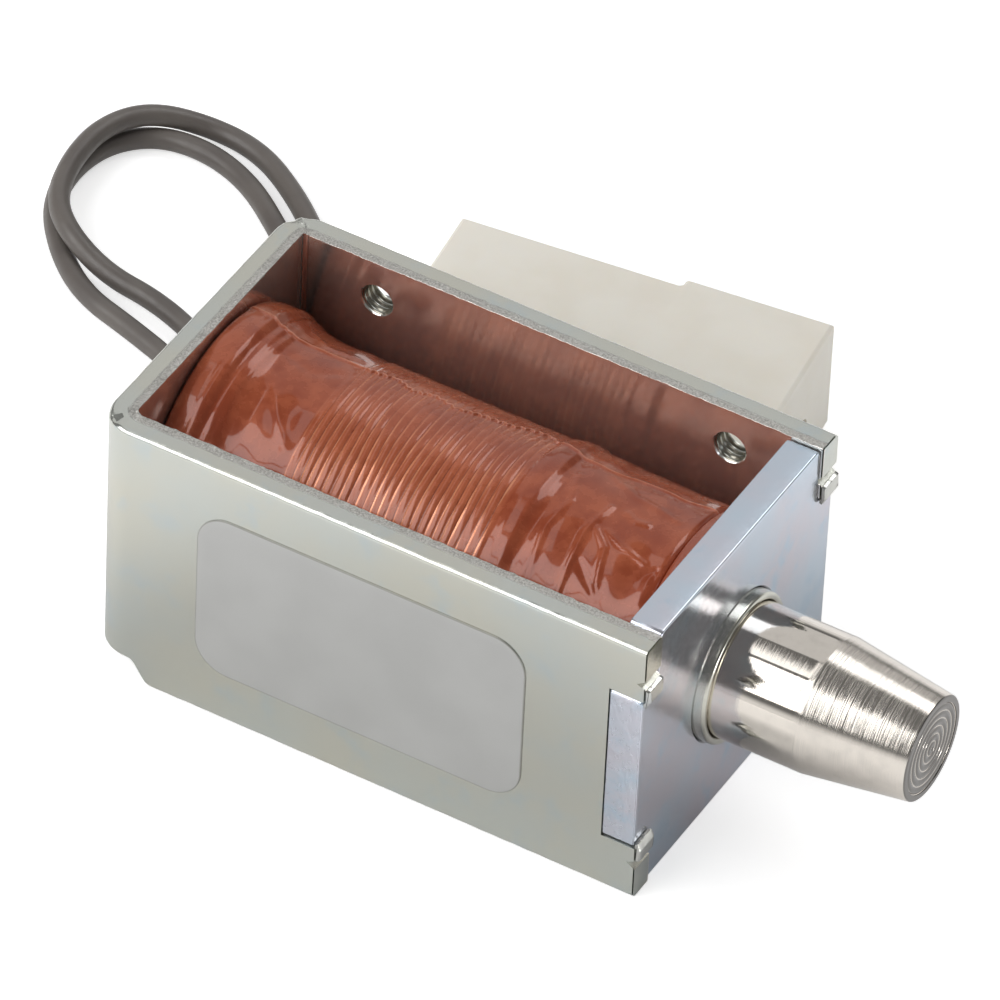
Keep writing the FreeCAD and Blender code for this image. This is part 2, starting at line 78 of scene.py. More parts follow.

# %% [markdown]
# ## The two leads
# Each lead is a soft vinyl wire, 1.6 mm thick, that leaves the coil under the rear wall,
# makes one loop on the table and ends in the connector.
# A NURBS curve suits it, because a wire bends in one smooth line and never in corners.
# The control points are listed. A round bevel gives the curve its thickness, and the tube
# is then kept as a mesh, because a curve object reports a box much larger than it is.

# %% Leads
route_a = [(-15.4, -4.8, -10.5), (-18.4, -4.8, -10.5), (-22.8, -3.2, -10.5), (-27.4, 1.0, -10.5),
           (-32.0, 5.6, -10.5), (-37.2, 7.7, -10.5), (-41.8, 7.9, -10.1), (-45.7, 9.0, -8.8),
           (-48.4, 11.6, -8.7), (-49.7, 15.9, -8.7), (-49.7, 20.3, -8.7), (-47.6, 23.6, -8.8),
           (-43.8, 26.0, -10.3), (-39.4, 25.6, -10.5), (-34.9, 22.8, -10.5), (-31.2, 19.6, -10.5),
           (-28.0, 16.8, -10.5), (-24.6, 14.6, -9.3), (-20.78, 13.96, -8.1), (-16.51, 14.49, -8.1)]
route_b = [(-15.4, -7.0, -10.5), (-18.8, -7.0, -10.5), (-23.4, -5.5, -10.5), (-28.2, -1.4, -10.5),
           (-32.6, 2.6, -10.5), (-37.4, 4.2, -10.5), (-42.4, 5.6, -10.5), (-46.6, 9.0, -10.5),
           (-49.4, 12.8, -10.5), (-50.2, 16.6, -10.5), (-49.5, 20.6, -10.5), (-46.8, 23.3, -10.5),
           (-42.8, 23.7, -10.5), (-38.6, 22.3, -10.5), (-34.6, 19.4, -10.5), (-30.9, 16.2, -10.5),
           (-27.6, 13.0, -10.5), (-24.0, 10.3, -9.3), (-20.17, 9.0, -8.1), (-15.9, 9.53, -8.1)]
lead_diameter = 1.6


def merged(mesh, sharp_angle, near=1e-7, flatten=False):
    """Joins the points that meet, turns the faces outwards and marks the really sharp edges."""
    clean = bmesh.new()
    clean.from_mesh(mesh)
    bmesh.ops.remove_doubles(clean, verts=clean.verts, dist=near)
    if flatten:
        bmesh.ops.dissolve_limit(clean, angle_limit=radians(1.0), verts=clean.verts, edges=clean.edges)
    bmesh.ops.recalc_face_normals(clean, faces=clean.faces)
    clean.to_mesh(mesh)
    clean.free()
    mesh.shade_smooth()
    mesh.set_sharp_from_angle(angle=radians(sharp_angle))


def lead_tube(name, route):
    """A tube round a NURBS spline of order 3 on the route's control points, and the line it follows."""
    curve = bpy.data.curves.new(name, "CURVE")
    curve.dimensions = "3D"
    spline = curve.splines.new("NURBS")
    spline.points.add(len(route) - 1)
    points = np.column_stack([np.array(route) * MM, np.ones(len(route))])
    spline.points.foreach_set("co", points.ravel())
    spline.order_u = 3
    spline.use_endpoint_u = True
    spline.resolution_u = 16
    drawn = bpy.data.objects.new(name, curve)
    line = bpy.data.meshes.new_from_object(drawn)
    path = [tuple(vertex.co) for vertex in line.vertices]
    curve.bevel_depth = lead_diameter / 2 * MM
    curve.bevel_resolution = 6
    curve.use_fill_caps = True
    tube = bpy.data.meshes.new_from_object(drawn)
    bpy.data.objects.remove(drawn)
    merged(tube, 50.0)
    return placed(name, tube), path


leads = {}
for letter, route in (("a", route_a), ("b", route_b)):
    lead, path = lead_tube("vinyl_lead_" + letter, route)
    leads[letter] = lead
    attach(lead, "body")
    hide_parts("lead_" + letter)
    print(lead.name, "control points:", len(route), "tube faces:", len(lead.data.polygons))

# %% [markdown]
# ## Surfaces from numpy
# Most parts here are rings of points joined by quads: a turned part is a ring at each step of its
# profile, and a plate is its outline moved in and out. One function joins the rings of any such part.
# Another makes an object of one or more of these shells, with the points that meet at a pole merged.


# %% Rings to shells, shells to a piece
def shell(rings, wrap=False, caps=True):
    """Quads between each ring and the next; wrap joins the last ring to the first."""
    rings = np.asarray(rings, float)
    count, around = rings.shape[:2]
    row, column = np.meshgrid(np.arange(count if wrap else count - 1), np.arange(around), indexing="ij")
    next_row = (row + 1) % count
    next_column = (column + 1) % around
    quads = np.stack([row * around + column, next_row * around + column,
                      next_row * around + next_column, row * around + next_column], axis=-1)
    faces = quads.reshape(-1, 4).tolist()
    if caps and not wrap:
        faces += [list(range(around)), list(range((count - 1) * around, count * around))]
    return rings.reshape(-1, 3), faces


def piece(name, shells, sharp_angle=35.0):
    """One object of several shells, in millimetres, with its place in its mesh."""
    points = np.concatenate([part[0] for part in shells])
    starts = np.cumsum([0] + [len(part[0]) for part in shells])
    faces = [[index + start for index in face]
             for part, start in zip(shells, starts) for face in part[1]]
    mesh = bpy.data.meshes.new(name)
    mesh.from_pydata((points * MM).tolist(), [], faces)
    merged(mesh, sharp_angle)
    print(name, "faces:", len(mesh.polygons))
    return placed(name, mesh)


def dress(made, slot, *replaced, body="body"):
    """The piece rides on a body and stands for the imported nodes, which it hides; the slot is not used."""
    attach(made, body)
    if replaced:
        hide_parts(*replaced)
    return made


# %% [markdown]
# ## Lines with rounded corners
# No real edge is a perfect corner, and it's the small round on an edge that catches the light.
# This helper walks round a polygon, swaps each corner for an arc between its two tangent points,
# and keeps the outward normal of every point, so the same line can be moved in for a bevel.


# %% Rounded line
def unit(vectors):
    """A vector, or each row of vectors, at length 1."""
    return vectors / np.linalg.norm(vectors, axis=-1, keepdims=True)


def rounded_line(corners, radii, closed=True, steps=6, spacing=1.0):
    """Points and right-hand normals: each arc is centre + r (cos t, sin t), runs are divided evenly."""
    corners = np.array(corners, float)
    radii = np.broadcast_to(np.array(radii, float), len(corners))
    arcs = []
    for index, (here, radius) in enumerate(zip(corners, radii)):
        arriving = unit(here - corners[index - 1])
        leaving = unit(corners[(index + 1) % len(corners)] - here)
        if not closed and index in (0, len(corners) - 1):
            way = leaving if index == 0 else arriving
            arcs.append((here[None, :], np.array([[way[1], -way[0]]])))
            continue
        cross = arriving[0] * leaving[1] - arriving[1] * leaving[0]
        turn = np.arctan2(cross, arriving @ leaving)
        side = np.sign(turn)
        outward = np.array([arriving[1], -arriving[0]])
        centre = here - arriving * radius * np.tan(abs(turn) / 2) - outward * radius * side
        angle = np.arctan2(outward[1] * side, outward[0] * side) + turn * np.linspace(0, 1, steps + 1)
        spoke = np.column_stack([np.cos(angle), np.sin(angle)])
        arcs.append((centre + radius * spoke, side * spoke))
    points, normals = [], []
    for index, (arc, normal) in enumerate(arcs):
        points.append(arc)
        normals.append(normal)
        if not closed and index == len(arcs) - 1:
            break
        end = arcs[(index + 1) % len(arcs)][0][0]
        run = np.linalg.norm(end - arc[-1])
        parts = max(3, int(run / spacing))
        share = np.linspace(0, 1, parts + 1)[1:-1, None]
        edge = 0.12 / max(run, 0.4)
        share = np.concatenate([[[edge]], share[1:-1], [[1 - edge]]]) if parts > 3 else share
        points.append(arc[-1] + (end - arc[-1]) * share)
        normals.append(np.repeat(normal[-1:], len(share), 0))
    return np.concatenate(points), np.concatenate(normals)


example = rounded_line([(0, 0), (4, 0), (4, 2), (0, 2)], 0.5)[0]
print("a rounded 4 x 2 rectangle has", len(example), "points")

# %% [markdown]
# ## Turned parts
# The bolt, its guide tube and the bobbin are turned or drawn round one axis.
# A profile of distance along the axis and radius, carried round that axis, makes each of them.

# %% Revolve
axis_y = -13.0


def full_turn(count):
    """Evenly spaced angles round a circle."""
    return np.linspace(0, 2 * pi, count, endpoint=False)


def round_axis(x, radius, angle):
    """The points (x, r sin t, r cos t) round the bolt's axis."""
    return np.stack([x + 0 * angle, axis_y + radius * np.sin(angle), radius * np.cos(angle)], axis=-1)


def revolved(profile, around=128):
    """Each profile point becomes a ring round the bolt's axis."""
    return round_axis(profile[:, :1], profile[:, 1:], full_turn(around))


print("the bolt's axis lies at y =", axis_y)

# %% [markdown]
# ## The bracket
# The bracket is one strip of 2 mm zinc-plated steel bent into a U, so it's made the same way here:
# the strip's section, a rectangle with worn outer corners, is carried along the U seen from above.
# Pressing leaves marks that sell it as steel. The bends bulge a little at their edges, the rear wall
# is cut shorter at the bottom to let the leads out, and each wall's end is rounded over.

# %% Bracket values
sheet = 2.0
half_height = 11.3
rear_x = -22.0
plate_rear_x = 18.5
plate_front_x = 21.0
wall_end_x = 21.2
near_y = -26.0
far_y = 0.0
bend_outer = 2.5
rear_relief = 1.8
rear_relief_reach = 3.6


def smooth_step(value, low, high):
    """0 below low, 1 above high, and 3t^2 - 2t^3 between them."""
    t = np.clip((value - low) / (high - low), 0, 1)
    return t * t * (3 - 2 * t)


def ripple(u, v, seed, waves=12, wavelength=4.0):
    """A gentle random surface: the mean of cosines of u and v with seeded directions and phases."""
    random = np.random.default_rng(seed)
    direction = random.uniform(0, 2 * pi, waves)
    size = 2 * pi / wavelength * random.uniform(0.5, 1.6, waves)
    phase = random.uniform(0, 2 * pi, waves)
    total = sum(np.cos(k * (u * np.cos(d) + v * np.sin(d)) + p)
                for k, d, p in zip(size, direction, phase))
    return total / np.sqrt(waves)


# %% Bracket strip
def bracket_strip():
    """Section point (depth, height) at path point P goes to P - depth * outward, with its height."""
    corners = [(wall_end_x, far_y), (rear_x, far_y), (rear_x, near_y), (wall_end_x, near_y)]
    path, outward = rounded_line(corners, bend_outer, closed=False, steps=14, spacing=0.3)
    path = path[::-1]
    outward = np.where(np.abs(outward) < 1e-9, 0, outward)[::-1]
    section, section_normal = rounded_line(
        [(0, -half_height), (sheet, -half_height), (sheet, half_height), (0, half_height)],
        [0.3, 0.05, 0.05, 0.34], steps=5, spacing=0.45)
    end_round = 0.16
    quarter = np.linspace(0, pi / 2, 4)
    back = end_round * (1 - np.sin(quarter))
    inset = end_round * (1 - np.cos(quarter))[::-1]

    def end_ring(index, shift, narrower):
        return strip_ring(path[index] - [shift, 0], outward[index], section - section_normal * narrower, 0)

    rings = [end_ring(0, shift, narrower) for shift, narrower in zip(back[::-1], inset[::-1])]
    travelled = np.concatenate([[0], np.cumsum(np.linalg.norm(np.diff(path, axis=0), axis=1))])
    for point, normal, distance in zip(path[1:-1], outward[1:-1], travelled[1:-1]):
        rings.append(strip_ring(point, normal, section, distance))
    rings += [end_ring(-1, shift, narrower) for shift, narrower in zip(back, inset)]
    return shell(rings)


def strip_ring(point, normal, section, distance):
    """The section set across the path, with the bends' bulge and the rear wall's shorter lower edge.

    Along the edges it adds a faint wobble, the shear's burr on the inner side and nicks in the bends.
    """
    depth, height = section[:, 0], section[:, 1]
    x = point[0] - normal[0] * depth
    y = point[1] - normal[1] * depth
    in_bend = np.exp(-((abs(normal[0]) - abs(normal[1])) / 0.75) ** 2) * (abs(normal[0]) > 1e-3)
    bulge = 0.16 * in_bend * (depth / sheet - 0.35) * np.sign(height) * (np.abs(height) > 9)
    reach = point[0] - rear_x
    lifted = rear_relief * (1 - smooth_step(reach, rear_relief_reach - 0.6, rear_relief_reach + 1.0))
    lift = lifted * (height < 0) * np.clip(-height / half_height * 1.3, 0, 1)
    at_edge = np.abs(height) > half_height - 0.3
    wobble = 0.015 * ripple(distance, depth * 2, 3, wavelength=2.2) * at_edge
    burr = 0.05 * np.abs(ripple(distance * 1.3, depth, 8, wavelength=1.0))
    burr = burr * at_edge * (depth > sheet - 0.1) * np.sign(height)
    mid_bend = 4 * normal[0] ** 2 * normal[1] ** 2
    nicks = 0.12 * ripple(x, y, 21, wavelength=1.3) * mid_bend * at_edge
    return np.column_stack([x, y, height + bulge + lift + wobble + burr + nicks])


strip = bracket_strip()
print("bracket strip points:", len(strip[0]))

# %% [markdown]
# ## Holes, notches and stakes
# A press punches the notches for the plate's tabs, and a chisel drives a V groove beside each tab
# so that the steel spreads over it and locks the plate. The cuts are closed shapes taken away with
# one Boolean, which is exact where a curved cutter meets the strip's rounded edges.

# %% Cutters
hole_radius = 1.24
hole_spacing_x = 28.0
hole_spacing_z = 16.0
hole_places = [(x, z) for x in (-hole_spacing_x / 2, hole_spacing_x / 2)
               for z in (-hole_spacing_z / 2, hole_spacing_z / 2)]
rivet_radius = 3.03
tab_half_height = 6.7
tab_gap = 0.1
stake_z = 8.35
stake_depth = 0.7
stake_slant = 0.12
stake_half_width = 0.4
wall_places = (near_y, far_y - sheet)


def bored(centre, radius, chamfer, direction, around=48):
    """A cylinder along one axis whose radius grows by the chamfer at the wall's two faces."""
    along = np.array([-1.0, 0.0, chamfer, sheet - chamfer, sheet, sheet + 1.0])
    size = radius + np.array([chamfer + 0.25, chamfer, 0, 0, chamfer, chamfer + 0.25])
    angle = full_turn(around)
    across, up = np.cos(angle) * size[:, None], np.sin(angle) * size[:, None]
    along = np.repeat(along[:, None], around, 1)
    x, y = (across, -along) if direction == "y" else (along, across)
    return shell(np.stack([centre[0] + x, centre[1] + y, centre[2] + up], axis=-1))


def at_y(line, y, up=1):
    """A line in x and z set at one y, or its mirror image below with up = -1."""
    return np.column_stack([line[:, 0], np.full(len(line), y), up * line[:, 1]])


def prism_y(outline, low):
    """A polygon in x and z carried along y, through a wall and half a millimetre past each face."""
    return shell([at_y(np.array(outline, float), y) for y in (low - 0.5, low + sheet + 0.5)])


cutters = [bored((x, far_y, z), hole_radius, 0.08, "y") for x, z in hole_places]
cutters.append(bored((rear_x, axis_y, 0.0), rivet_radius, 0.1, "x"))
notch = tab_half_height + tab_gap
notch_rear_x = plate_rear_x - 0.04
past_end_x = 22.5
groove_x = wall_end_x + 0.5
groove_half = stake_half_width * 1.7
for low in wall_places:
    cutters.append(prism_y([(notch_rear_x, -notch), (past_end_x, -notch), (past_end_x, notch),
                            (notch_rear_x, notch)], low))
    for up in (-1, 1):
        cutters.append(prism_y([(wall_end_x - stake_depth, up * (stake_z - stake_slant)),
                                (groove_x, up * stake_z - groove_half),
                                (groove_x, up * stake_z + groove_half)], low))
print("cutters:", len(cutters))


# %% Cut the strip
def cut(target, cutter_shells):
    """Takes the closed cutters away from the piece with one exact Boolean."""
    cutter = piece("cutter", cutter_shells)
    step = target.modifiers.new("cut", "BOOLEAN")
    step.operation = "DIFFERENCE"
    step.solver = "EXACT"
    step.object = cutter
    shaped = bpy.data.meshes.new_from_object(target.evaluated_get(bpy.context.evaluated_depsgraph_get()))
    target.modifiers.clear()
    target.data = shaped
    bpy.data.objects.remove(cutter)
    shaped.shade_smooth()
    shaped.set_sharp_from_angle(angle=radians(30))


bracket = piece("bracket", [strip])
cut(bracket, cutters)
dress(bracket, "zinc_steel", "frame")
print("bracket after cutting:", len(bracket.data.polygons))

# %% [markdown]
# ## Staked lips and screw threads
# The chisel leaves a lip that leans over the tab's corner, uneven as pushed metal is.
# A thread is a cylinder whose radius follows a saw wave that climbs one pitch in each turn,
# so a grid over the turn and the height gives it in one array, and it closes on itself.
# An M3 thread is tapped in a hole of about 2.5 mm, so the drawn hole is smaller than the screw.

# %% Lips and threads
pitch = 0.5
thread_depth = 0.13


def lip(low, up, seed):
    """The pushed-over metal: a rounded outline in x and z, carried a little unevenly along y."""
    root = stake_z - stake_half_width
    over = tab_half_height - 0.35
    foot = wall_end_x - 0.06
    on_plate = plate_front_x + 0.03
    outline = [(foot, tab_half_height + 0.1), (on_plate, tab_half_height), (on_plate, over),
               (wall_end_x + 0.1, over - 0.1), (wall_end_x + 0.36, over + 0.45),
               (wall_end_x + 0.3, root - 0.1), (foot, root - 0.02)]
    line, normal = rounded_line(outline, [0.03, 0.02, 0.03, 0.04, 0.05, 0.05, 0.03], steps=3, spacing=0.3)
    rings = []
    for share in np.linspace(0, 1, 15):
        y = low + 0.03 + (sheet - 0.06) * share
        edge = 0.06 * (1 - np.sqrt(np.clip(1 - (2 * abs(share - 0.5)) ** 12, 0, 1)))
        uneven = 0.03 * ripple(line[:, 1] * 1.5, np.full(len(line), y * 2.0), seed, wavelength=1.5)
        moved = line - normal * (edge + np.where(line[:, 0] > 21.1, np.abs(uneven), 0)[:, None])
        rings.append(at_y(moved, y, up))
    return shell(rings)


def thread(x, z, around=48):
    """Radius = outer - depth * triangle(y / pitch - turn), closed by a plain sleeve inside the wall."""
    turn = np.linspace(0, 1, around, endpoint=False)
    height = np.linspace(0.1, sheet - 0.1, 64)
    wave = np.abs(((height[:, None] / pitch - turn[None, :]) % 1.0) * 2 - 1)
    fade = smooth_step(height, 0.1, 0.25) * (1 - smooth_step(height, sheet - 0.25, sheet - 0.1))
    radius = hole_radius + 0.01 - thread_depth * np.clip(wave * 1.25, 0, 1) * fade[:, None]
    radius = np.concatenate([radius, np.full((2, around), hole_radius + 0.04)])
    height = np.concatenate([height, height[[-1, 0]]])[:, None]
    angle = turn * 2 * pi
    rings = np.stack([x + radius * np.cos(angle), far_y - height + 0 * radius,
                      z + radius * np.sin(angle)], axis=-1)
    return shell(rings, wrap=True)


lips = [lip(low, up, 7 + side * 2 + (up > 0)) for side, low in enumerate(wall_places) for up in (-1, 1)]
staked_lips = dress(piece("staked_lips", lips), "zinc_steel")
screw_threads = dress(piece("screw_threads", [thread(x, z) for x, z in hole_places]), "zinc_steel")

# %% [markdown]
# ## The end plate
# The plate that closes the bracket carries the guide tube in a bore and has a tab on each side.
# Its surface is the round bore opened out to the outline: every point of the outline looks back at
# the bore's circle, and the rings between them make the faces, the bevels and the sides.

# %% End plate
plate_half_width = 10.9
tab_reach = 13.0
neck_outer = 5.6


def plate_shell():
    """Rings from the bore to the outline, over the bevel, along the side and back, in y and z."""
    half, tab, top, side = plate_half_width, tab_reach, half_height, tab_half_height
    corners = [(tab, -side), (tab, side), (half, side), (half, top), (-half, top), (-half, side)]
    corners += [(-across, -up) for across, up in corners]
    line, normal = rounded_line(corners, [0.3, 0.3, 0.2, 0.5, 0.5, 0.2] * 2, steps=5, spacing=0.5)
    spoke = unit(line)
    bore = neck_outer + 0.05
    bevel = 0.14
    bend = np.linspace(0, pi / 2, 5)

    def ring(x, flat):
        return np.column_stack([np.full(len(flat), x), axis_y + flat[:, 0], flat[:, 1]])

    def face(x):
        shares = np.concatenate([[0, 0.04], np.linspace(0.12, 0.96, 9), [1]])
        inner, outer = spoke * (bore + 0.12), line - normal * bevel
        return [ring(x, inner + (outer - inner) * share) for share in shares]

    def rounded(x, inward, t):
        return ring(x + inward * bevel * (1 - np.cos(t)), line - normal * bevel * (1 - np.sin(t)))

    rings = [ring(plate_rear_x + 0.12, spoke * bore), ring(plate_front_x - 0.12, spoke * bore)]
    rings += face(plate_front_x)
    rings += [rounded(plate_front_x, -1, t) for t in bend[1:]]
    rings += [rounded(plate_rear_x, 1, t) for t in bend[:0:-1]]
    rings += face(plate_rear_x)[::-1]
    return shell(rings, wrap=True)


end_plate = dress(piece("pressed_plate", [plate_shell()]), "blue_zinc_steel", "end_plate")

# %% [markdown]
# ## Guide tube and bolt
# The tube's neck stands a little out of the plate with a rolled lip. The bolt slides in it: a straight
# shank, a long taper and a flat nose that still carries the rings of the facing cut.
# Those rings are part of the profile, because a picture from the front looks straight at them.

# %% Tube and bolt profiles
tube_profile = rounded_line(
    [(-19.9, 5.45), (-19.9, 6.0), (18.5, 6.0), (18.5, 5.6), (21.9, 5.6), (21.9, 5.05), (17.95, 5.05),
     (17.95, 5.45)], [0.05, 0.05, 0.05, 0.05, 0.26, 0.22, 0.05, 0.05], steps=5, spacing=3.0)[0]
guide_tube = dress(piece("drawn_tube", [shell(revolved(tube_profile), wrap=True)]), "nickel_silver",
                   "guide_tube")

tail_x = 2.95
bore_floor_x = 10.95
bore_radius = 2.0
head_rear_x = 6.24
head_front_x = 17.85
head_radius = 5.4
shank_radius = 5.0
taper_x = 28.5
nose_x = 36.4
nose_radius = 3.9
shank = rounded_line(
    [(bore_floor_x, 0), (bore_floor_x, bore_radius), (tail_x, bore_radius), (tail_x, 2.7),
     (head_rear_x, 4.6), (head_rear_x, head_radius), (head_front_x, head_radius),
     (head_front_x, shank_radius), (taper_x, shank_radius), (nose_x, nose_radius),
     (nose_x, nose_radius - 0.5)], [0, 0.1, 0.1, 0.1, 0.1, 0.25, 0.25, 0.1, 0.5, 0.16, 0],
    closed=False, steps=5, spacing=2.0)[0]
face_radius = np.linspace(nose_radius - 0.5, 0.0, 90)
cut_marks = 0.09 * np.abs(np.sin(face_radius * pi / 0.56)) ** 0.8 - 0.1
nose_face = np.column_stack([nose_x + cut_marks * smooth_step(nose_radius - 0.4 - face_radius, 0, 0.1),
                             face_radius])
bolt_rings = revolved(np.concatenate([shank, nose_face]), 144)
bolt = dress(piece("turned_bolt", [shell(bolt_rings, caps=False)]), "nickel_plate", "plunger", body="bolt")

# %% [markdown]
# ## The return spring
# The spring sits in bores of the core and the bolt, so it has to shorten as the bolt goes in.
# Its wire is a circle carried along a helix, and its first and last turns lie closed, as on a real
# compression spring.

# %% Spring
spring_seat_x = -13.3
spring_end_x = 10.9
spring_wire = 0.3
spring_radius = 1.6
spring_turns = 10
whole_length = spring_end_x - spring_seat_x


def helix_tube(sides=10, steps_a_turn=36):
    """Centre (x(t), R sin t, R cos t) with a pitch that is small at both ends, and a circle across it."""
    turn = np.linspace(0, spring_turns, spring_turns * steps_a_turn + 1)
    climb = smooth_step(turn, 0.8, 1.6) * (1 - smooth_step(turn, spring_turns - 1.6, spring_turns - 0.8))
    closed_rise = spring_wire * 1.05 * turn
    open_rise = np.concatenate([[0], np.cumsum(climb[1:])])
    open_rise = open_rise * (whole_length - spring_wire - closed_rise[-1]) / open_rise[-1]
    angle = 2 * pi * turn
    outward = np.column_stack([0 * angle, np.sin(angle), np.cos(angle)])
    centre = spring_radius * outward
    centre[:, 0] = spring_seat_x + spring_wire / 2 + closed_rise + open_rise
    across = np.cross(unit(np.gradient(centre, axis=0)), outward)
    centre[:, 1] = centre[:, 1] + axis_y
    around = full_turn(sides)[None, :, None]
    ring = outward[:, None, :] * np.cos(around) + across[:, None, :] * np.sin(around)
    return shell(centre[:, None, :] + spring_wire / 2 * ring)


spring = dress(piece("coil_spring", [helix_tube()], 60), "spring_wire", "return_spring")
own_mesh(spring)

# %% [markdown]
# ## Bobbin
# Only the rim of the bobbin's front flange shows, as an amber line between the film and the plate.

# %% Bobbin profile
bobbin_profile = rounded_line(
    [(-19.9, 6.05), (18.4, 6.05), (18.4, 9.9), (17.2, 9.9), (17.2, 6.85), (-18.7, 6.85), (-18.7, 10.5),
     (-19.9, 10.5)], [0.05, 0.05, 0.25, 0.25, 0.1, 0.1, 0.25, 0.25], steps=4, spacing=4.0)[0]
bobbin = dress(piece("bobbin_spool", [shell(revolved(bobbin_profile, 96), wrap=True)]),
               "bobbin_nylon", "bobbin")

# %% [markdown]
# ## The coil's film
# A glossy brown film is wound tight over the copper. It bulges over the rear flange, draws in to a
# waist, follows the outermost turns of wire as a row of ribs, and goes smooth and creased in front.
# The radius is a sum of plain terms over the length s and the angle: a body line, the ribs,
# the free edge of the film and a few creases. Each crease is a soft ridge along a line of points.

# %% Film values
film_start = -19.9
film_length = 37.05
rib_pitch = 0.62
rib_first = 9.1
rib_last = 24.75
body_s = [0, 0.25, 0.8, 1.5, 2.3, 2.7, 3.2, 3.7, 4.3, 5.2, 7.0, 9.0,
          24.4, 24.7, 25.3, 26.2, 26.7, 28, 31, 34, 36.7, 37.05]
body_r = [10.45, 10.72, 10.84, 10.85, 10.74, 10.52, 10.42, 10.2, 10.02, 9.9, 9.87, 9.84,
          9.8, 10.02, 10.13, 10.12, 9.93, 9.87, 9.84, 9.82, 9.74, 9.5]
wire_radius = 9.9
film_inner_radius = 9.2
edge_s = [0, 3.6, 10.5, 12, 13.5, 15, 17, 19, 21, 22, 23.5, 24.6, 26, 28.8, 31, 34.7, 36.8]
edge_angle = [20, 17.5, 18.5, 20.5, 16.5, 20, 17, 20.5, 22, 26, 27.5, 24, 21, 18.3, 20.5, 20.8, 24.5]
creases = [
    (0.11, 0.2, [(31.07, -1.8), (30.5, -17.8), (30.65, -27.6), (30.8, -44.6), (31.2, -70)]),
    (-0.1, 0.26, [(31.2, -30), (32.4, -36.4), (33.35, -40.6)]),
    (0.1, 0.16, [(33.35, -40.6), (33.0, -34), (32.8, -30), (32.4, -21), (31.1, -14)]),
    (0.09, 0.2, [(31.8, -13.2), (33.6, -17.8), (35.4, -20.4)]),
    (0.09, 0.25, [(32.3, -1.5), (33.1, -4.2), (34.0, -3.2)]),
    (-0.09, 0.22, [(35.7, -25.6), (36.4, -20.8), (36.7, -27.9), (36.7, -35.3)]),
    (0.08, 0.25, [(27.6, 8), (28.4, -6), (27.9, -22), (28.3, -40), (28.5, -75)]),
    (0.07, 0.3, [(29.6, 16), (32.0, 9), (35.5, 6)]),
    (-0.06, 0.35, [(26.9, 20), (27.3, 0), (27.0, -30), (27.3, -60)]),
    (0.07, 0.25, [(2.0, 60), (2.1, 0), (1.9, -60)]),
    (-0.06, 0.18, [(2.75, 50), (2.8, 5), (2.7, -50)]),
    (0.06, 0.22, [(3.6, 40), (3.9, 14), (3.5, -20), (3.8, -55)]),
    (0.06, 0.3, [(4.6, 30), (6.3, 22), (8.7, 24)]),
    (0.05, 0.35, [(5.0, -8), (6.6, -20), (8.4, -34)]),
    (-0.05, 0.4, [(4.8, 6), (7.0, 2), (8.6, 8)]),
]
print("creases:", len(creases))


# %% Film surface
def crease_height(s, arc, height, width, line):
    """The height times exp(-(d / width)^2), where d is the distance to the nearest piece of the line."""
    points = np.array(line, float)
    points[:, 1] = np.radians(points[:, 1]) * wire_radius
    nearest = np.full(s.shape, 1e9)
    for start, end in zip(points[:-1], points[1:]):
        run = end - start
        share = ((s - start[0]) * run[0] + (arc - start[1]) * run[1]) / (run @ run)
        share = np.clip(share, 0, 1)
        gap = np.hypot(s - start[0] - share * run[0], arc - start[1] - share * run[1])
        nearest = np.minimum(nearest, gap)
    return height * np.exp(-(nearest / width) ** 2)


def film_radius(s, angle):
    """Body line + ribs + the raised free edge + creases + a faint random swell."""
    arc = (angle + pi) % (2 * pi) - pi
    arc_mm = arc * wire_radius
    radius = np.interp(s, body_s, body_r)
    first = rib_first + 0.35 * np.cos(arc * 1.5) + 0.5 * smooth_step(np.degrees(arc), 0, 40)
    wander = 0.10 * ripple(s * 0.7, arc_mm * 0.55, 11, wavelength=5.0)
    turns = (s - rib_first + wander) / rib_pitch + arc / (2 * pi)
    each = 0.7 + 0.3 * np.sin(np.floor(turns) * 12.9898 + 1.3 * np.sin(angle * 2 + np.floor(turns)))
    inside = smooth_step(s, first - 0.3, first + 0.3) * (1 - smooth_step(s, rib_last - 0.4, rib_last))
    near_side = 0.7 + 0.3 * smooth_step(-np.degrees(arc), -8, 22)
    rib = np.abs(np.sin(pi * turns)) ** 0.5 * 0.12 * each * near_side
    radius = radius + rib * inside
    zigzag = np.radians(2.2) * (np.abs((turns % 1.0) * 2 - 1) - 0.5) * inside
    edge = np.radians(np.interp(s, edge_s, edge_angle)) + zigzag
    past = arc_mm - edge * wire_radius
    radius = radius + 0.1 * smooth_step(past, -0.1, 0.0) * np.exp(-np.clip(past, 0, 50) / 3.0)
    radius = radius + 0.03 * np.exp(-(past / 0.2) ** 2)
    for height, width, line in creases:
        radius = radius + crease_height(s, arc_mm, height, width, line)
    smooth_zone = smooth_step(s, 26.3, 28.5) + (1 - smooth_step(s, 7.5, 9.5)) * smooth_step(s, 3.8, 5.0)
    swell = 0.045 * ripple(s * 1.1, arc_mm * 0.45, 5, wavelength=4.5) * smooth_zone
    # where copper shows through, and where painted highlights and painted groove shade go: stronger on the
    # near side, which faces the light
    copper_and_painted_glint_mask = inside * (0.3 + 0.7 * smooth_step(-np.degrees(arc), -4, 26))
    return radius + swell, turns, copper_and_painted_glint_mask, past


def uneven_steps(limits, counts):
    """Evenly spaced values between each limit and the next, without the last limit."""
    return np.concatenate([np.linspace(low, high, count, endpoint=False)
                           for low, high, count in zip(limits[:-1], limits[1:], counts)])


